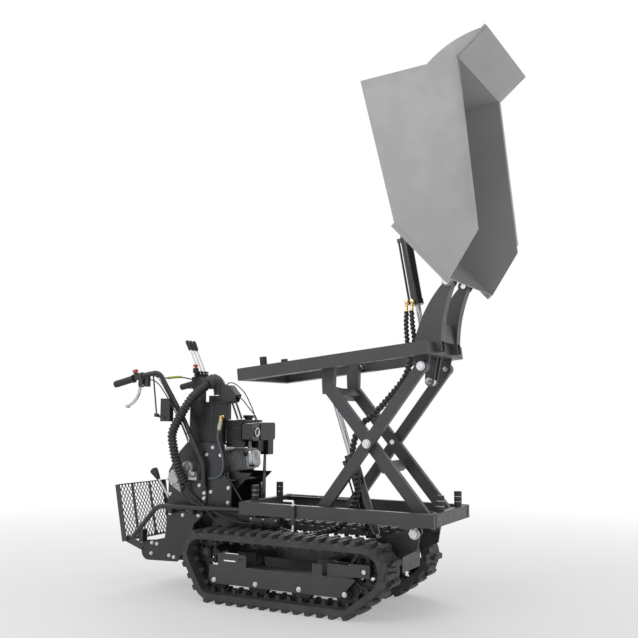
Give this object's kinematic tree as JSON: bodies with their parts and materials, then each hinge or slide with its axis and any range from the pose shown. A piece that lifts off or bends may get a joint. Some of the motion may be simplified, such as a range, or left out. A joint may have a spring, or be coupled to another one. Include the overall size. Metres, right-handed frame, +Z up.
{
  "type": "tracked power carrier",
  "caption": "Walk-behind power carrier on rubber tracks: a scissor lift raises a frame whose curved arms and ram tip a sheet steel skip; engine and controls at the rear.",
  "frame": {"origin": "on the ground, under the middle of the overall length and width", "axes": "+X forward, towards the skip; +Y to the left of the machine; +Z up"},
  "size_m": [2.1083, 0.698, 2.6044],
  "materials": {
    "frame_paint": "dark grey powder coat, half gloss",
    "skip_paint": "light grey paint, satin",
    "ram_paint": "gloss black paint",
    "track_rubber": "moulded rubber",
    "cap_rubber": "rubber buffers and grips",
    "hose_rubber": "ribbed and smooth black hose",
    "cast": "cast, painted black",
    "zinc": "bright zinc plate",
    "chrome": "hard chrome",
    "engine_metal": "die cast",
    "black_plastic": "black moulding",
    "switch_red": "red moulding"
  },
  "bodies": {
    "base": {"chassis": "frame_paint", "near_track_frame": "frame_paint", "far_track_frame": "frame_paint", "near_track_belt": "track_rubber", "far_track_belt": "track_rubber", "chassis_bolts": "zinc", "lower_frame": "frame_paint", "lower_post_caps": "cap_rubber", "ram_hoses": "hose_rubber", "engine_mount": "frame_paint", "engine_block": "engine_metal", "fuel_tank": "black_plastic", "air_filter": "black_plastic", "muffler": "ram_paint", "recoil_starter": "black_plastic", "gearbox": "engine_metal", "hydraulic_pump": "ram_paint", "hydraulic_tank": "black_plastic", "lever_block": "frame_paint", "handlebar": "frame_paint", "hand_grips": "cap_rubber", "control_loom": "hose_rubber", "thin_hoses": "hose_rubber"},
    "inner_arms": {"inner_arms": "frame_paint", "arm_pins": "zinc"},
    "outer_arms": {"outer_arms": "frame_paint"},
    "lower_slide_rollers": {"lower_slide_rollers": "zinc"},
    "upper_slide_rollers": {"upper_slide_rollers": "zinc"},
    "upper_frame": {"upper_frame": "frame_paint", "tip_arms": "frame_paint", "upper_post_caps": "cap_rubber", "upper_pins": "zinc"},
    "skip": {"skip": "skip_paint"},
    "lift_ram_rod": {"lift_ram_rod": "chrome"},
    "lift_ram_barrel": {"lift_ram_barrel": "ram_paint"},
    "tip_ram_rod": {"tip_ram_rod": "chrome"},
    "tip_ram_barrel": {"tip_ram_barrel": "ram_paint"},
    "tip_ram_plunger": {"tip_ram_plunger": "chrome"},
    "step": {"step_plate": "frame_paint"},
    "gear_lever": {"gear_lever": "chrome"},
    "lock_pin": {"lock_pin": "zinc"},
    "near_sprocket": {"near_sprocket": "cast"},
    "near_idler": {"near_idler": "cast"},
    "near_roller_1": {"near_roller_1": "cast"},
    "near_roller_2": {"near_roller_2": "cast"},
    "near_roller_3": {"near_roller_3": "cast"},
    "near_roller_4": {"near_roller_4": "cast"},
    "far_sprocket": {"far_sprocket": "cast"},
    "far_idler": {"far_idler": "cast"},
    "far_roller_1": {"far_roller_1": "cast"},
    "far_roller_2": {"far_roller_2": "cast"},
    "far_roller_3": {"far_roller_3": "cast"},
    "far_roller_4": {"far_roller_4": "cast"},
    "valve_lever_1": {"valve_lever_1": "chrome"},
    "valve_lever_2": {"valve_lever_2": "chrome"},
    "valve_lever_3": {"valve_lever_3": "chrome"},
    "near_brake_lever": {"near_brake_lever": "engine_metal"},
    "near_kill_switch": {"near_kill_switch": "switch_red"},
    "far_brake_lever": {"far_brake_lever": "engine_metal"},
    "far_kill_switch": {"far_kill_switch": "switch_red"}
  },
  "joints": [
    {"name": "lift", "type": "hinge", "parent": "base", "child": "inner_arms", "pos_m": [0.6925, 0, 0.445], "axis": [0, 1, 0], "range_deg": [-46.05, 0], "deforming": ["ram_hoses"]},
    {"name": "arm_cross", "type": "hinge", "parent": "inner_arms", "child": "outer_arms", "pos_m": [0.41858, 0, 0.76995], "axis": [0, 1, 0], "range_deg": [0, 95.05]},
    {"name": "platform_turn", "type": "hinge", "parent": "outer_arms", "child": "upper_frame", "pos_m": [0.68711, 0, 1.1263], "axis": [0, 1, 0], "range_deg": [-42.45, 0]},
    {"name": "lower_roll", "type": "hinge", "parent": "outer_arms", "child": "lower_slide_rollers", "pos_m": [0.17364, 0, 0.4449], "axis": [0, 1, 0], "range_deg": [-1040.5, 0]},
    {"name": "upper_roll", "type": "hinge", "parent": "inner_arms", "child": "upper_slide_rollers", "pos_m": [0.20447, 0, 1.13933], "axis": [0, 1, 0], "range_deg": [0, 1268]},
    {"name": "lift_ram_swing", "type": "hinge", "parent": "inner_arms", "child": "lift_ram_rod", "pos_m": [0.1465, 0, 1.017], "axis": [0, 1, 0], "range_deg": [-8.38, 0]},
    {"name": "lift_ram_close", "type": "slide", "parent": "lift_ram_rod", "child": "lift_ram_barrel", "axis": [-0.3174, 0, 0.9483], "range_m": [0, 0.2491]},
    {"name": "tip", "type": "hinge", "parent": "upper_frame", "child": "skip", "pos_m": [0.80124, 0, 1.51737], "axis": [0, 1, 0], "range_deg": [-88, 0]},
    {"name": "tip_ram_swing", "type": "hinge", "parent": "upper_frame", "child": "tip_ram_rod", "pos_m": [0.66835, 0, 1.06174], "axis": [0, 1, 0], "range_deg": [-58.31, 0]},
    {"name": "tip_ram_sleeve", "type": "slide", "parent": "tip_ram_rod", "child": "tip_ram_barrel", "axis": [-0.1802, 0, 0.9836], "range_m": [-0.3402, 0]},
    {"name": "tip_ram_stage", "type": "slide", "parent": "tip_ram_barrel", "child": "tip_ram_plunger", "axis": [-0.1802, 0, 0.9836], "range_m": [-0.2242, 0]},
    {"name": "near_drive", "type": "hinge", "parent": "base", "child": "near_sprocket", "pos_m": [-0.3955, -0.259, 0.228], "axis": [0, 1, 0], "continuous": true},
    {"name": "near_idler_turn", "type": "hinge", "parent": "base", "child": "near_idler", "pos_m": [0.4645, -0.259, 0.213], "axis": [0, 1, 0], "continuous": true},
    {"name": "near_roller_turn_1", "type": "hinge", "parent": "base", "child": "near_roller_1", "pos_m": [-0.3339, -0.259, 0.105], "axis": [0, 1, 0], "continuous": true},
    {"name": "near_roller_turn_2", "type": "hinge", "parent": "base", "child": "near_roller_2", "pos_m": [-0.1003, -0.259, 0.105], "axis": [0, 1, 0], "continuous": true},
    {"name": "near_roller_turn_3", "type": "hinge", "parent": "base", "child": "near_roller_3", "pos_m": [0.1333, -0.259, 0.105], "axis": [0, 1, 0], "continuous": true},
    {"name": "near_roller_turn_4", "type": "hinge", "parent": "base", "child": "near_roller_4", "pos_m": [0.3669, -0.259, 0.105], "axis": [0, 1, 0], "continuous": true},
    {"name": "far_drive", "type": "hinge", "parent": "base", "child": "far_sprocket", "pos_m": [-0.3955, 0.259, 0.228], "axis": [0, 1, 0], "continuous": true},
    {"name": "far_idler_turn", "type": "hinge", "parent": "base", "child": "far_idler", "pos_m": [0.4645, 0.259, 0.213], "axis": [0, 1, 0], "continuous": true},
    {"name": "far_roller_turn_1", "type": "hinge", "parent": "base", "child": "far_roller_1", "pos_m": [-0.3339, 0.259, 0.105], "axis": [0, 1, 0], "continuous": true},
    {"name": "far_roller_turn_2", "type": "hinge", "parent": "base", "child": "far_roller_2", "pos_m": [-0.1003, 0.259, 0.105], "axis": [0, 1, 0], "continuous": true},
    {"name": "far_roller_turn_3", "type": "hinge", "parent": "base", "child": "far_roller_3", "pos_m": [0.1333, 0.259, 0.105], "axis": [0, 1, 0], "continuous": true},
    {"name": "far_roller_turn_4", "type": "hinge", "parent": "base", "child": "far_roller_4", "pos_m": [0.3669, 0.259, 0.105], "axis": [0, 1, 0], "continuous": true},
    {"name": "step_fold", "type": "hinge", "parent": "base", "child": "step", "pos_m": [-0.8615, 0, 0.198], "axis": [0, -1, 0], "range_deg": [0, 78.5]},
    {"name": "lock_pin_lift", "type": "slide", "parent": "base", "child": "lock_pin", "axis": [0, 0, 1], "range_m": [0, 0.04]},
    {"name": "gear_shift", "type": "hinge", "parent": "base", "child": "gear_lever", "pos_m": [-0.7835, -0.056, 0.42], "axis": [0, 1, 0], "range_deg": [-14, 14]},
    {"name": "valve_shift_1", "type": "hinge", "parent": "base", "child": "valve_lever_1", "pos_m": [-0.6115, -0.074, 1.112], "axis": [0, 1, 0], "range_deg": [-14, 14], "stiffness_Nm_per_rad": 6},
    {"name": "valve_shift_2", "type": "hinge", "parent": "base", "child": "valve_lever_2", "pos_m": [-0.6115, -0.044, 1.112], "axis": [0, 1, 0], "range_deg": [-14, 14], "stiffness_Nm_per_rad": 6},
    {"name": "valve_shift_3", "type": "hinge", "parent": "base", "child": "valve_lever_3", "pos_m": [-0.6115, -0.014, 1.112], "axis": [0, 1, 0], "range_deg": [-14, 14], "stiffness_Nm_per_rad": 6},
    {"name": "near_brake", "type": "hinge", "parent": "base", "child": "near_brake_lever", "pos_m": [-0.8215, -0.29, 1.046], "axis": [0, 1, 0], "range_deg": [0, 25], "stiffness_Nm_per_rad": 1.6, "springref_deg": -20.05},
    {"name": "near_stop_press", "type": "slide", "parent": "base", "child": "near_kill_switch", "axis": [0.2351, 0, -0.972], "range_m": [0, 0.003], "stiffness_N_per_m": 900, "springref_m": -0.003},
    {"name": "far_brake", "type": "hinge", "parent": "base", "child": "far_brake_lever", "pos_m": [-0.8215, 0.29, 1.046], "axis": [0, 1, 0], "range_deg": [0, 25], "stiffness_Nm_per_rad": 1.6, "springref_deg": -20.05},
    {"name": "far_stop_press", "type": "slide", "parent": "base", "child": "far_kill_switch", "axis": [0.2351, 0, -0.972], "range_m": [0, 0.003], "stiffness_N_per_m": 900, "springref_m": -0.003}
  ],
  "couplings": [
    {"joint": "arm_cross", "follows": "lift", "ratio": -2.064},
    {"joint": "platform_turn", "follows": "lift", "ratio": 0.92176},
    {"joint": "lower_roll", "follows": "lift", "ratio": 22.57},
    {"joint": "upper_roll", "follows": "lift", "ratio": -27.5},
    {"joint": "lift_ram_swing", "follows": "lift", "ratio": 0.1817},
    {"joint": "lift_ram_close", "follows": "lift", "m_per_rad": -0.30981},
    {"joint": "tip_ram_swing", "follows": "tip", "ratio": 0.6624},
    {"joint": "tip_ram_sleeve", "follows": "tip", "m_per_rad": 0.22137},
    {"joint": "tip_ram_stage", "follows": "tip", "m_per_rad": 0.14584},
    {"joint": "near_idler_turn", "follows": "near_drive", "ratio": 0.82353},
    {"joint": "near_roller_turn_1", "follows": "near_drive", "ratio": 1.1864},
    {"joint": "near_roller_turn_2", "follows": "near_drive", "ratio": 1.1864},
    {"joint": "near_roller_turn_3", "follows": "near_drive", "ratio": 1.1864},
    {"joint": "near_roller_turn_4", "follows": "near_drive", "ratio": 1.1864},
    {"joint": "far_idler_turn", "follows": "far_drive", "ratio": 0.82353},
    {"joint": "far_roller_turn_1", "follows": "far_drive", "ratio": 1.1864},
    {"joint": "far_roller_turn_2", "follows": "far_drive", "ratio": 1.1864},
    {"joint": "far_roller_turn_3", "follows": "far_drive", "ratio": 1.1864},
    {"joint": "far_roller_turn_4", "follows": "far_drive", "ratio": 1.1864}
  ]
}
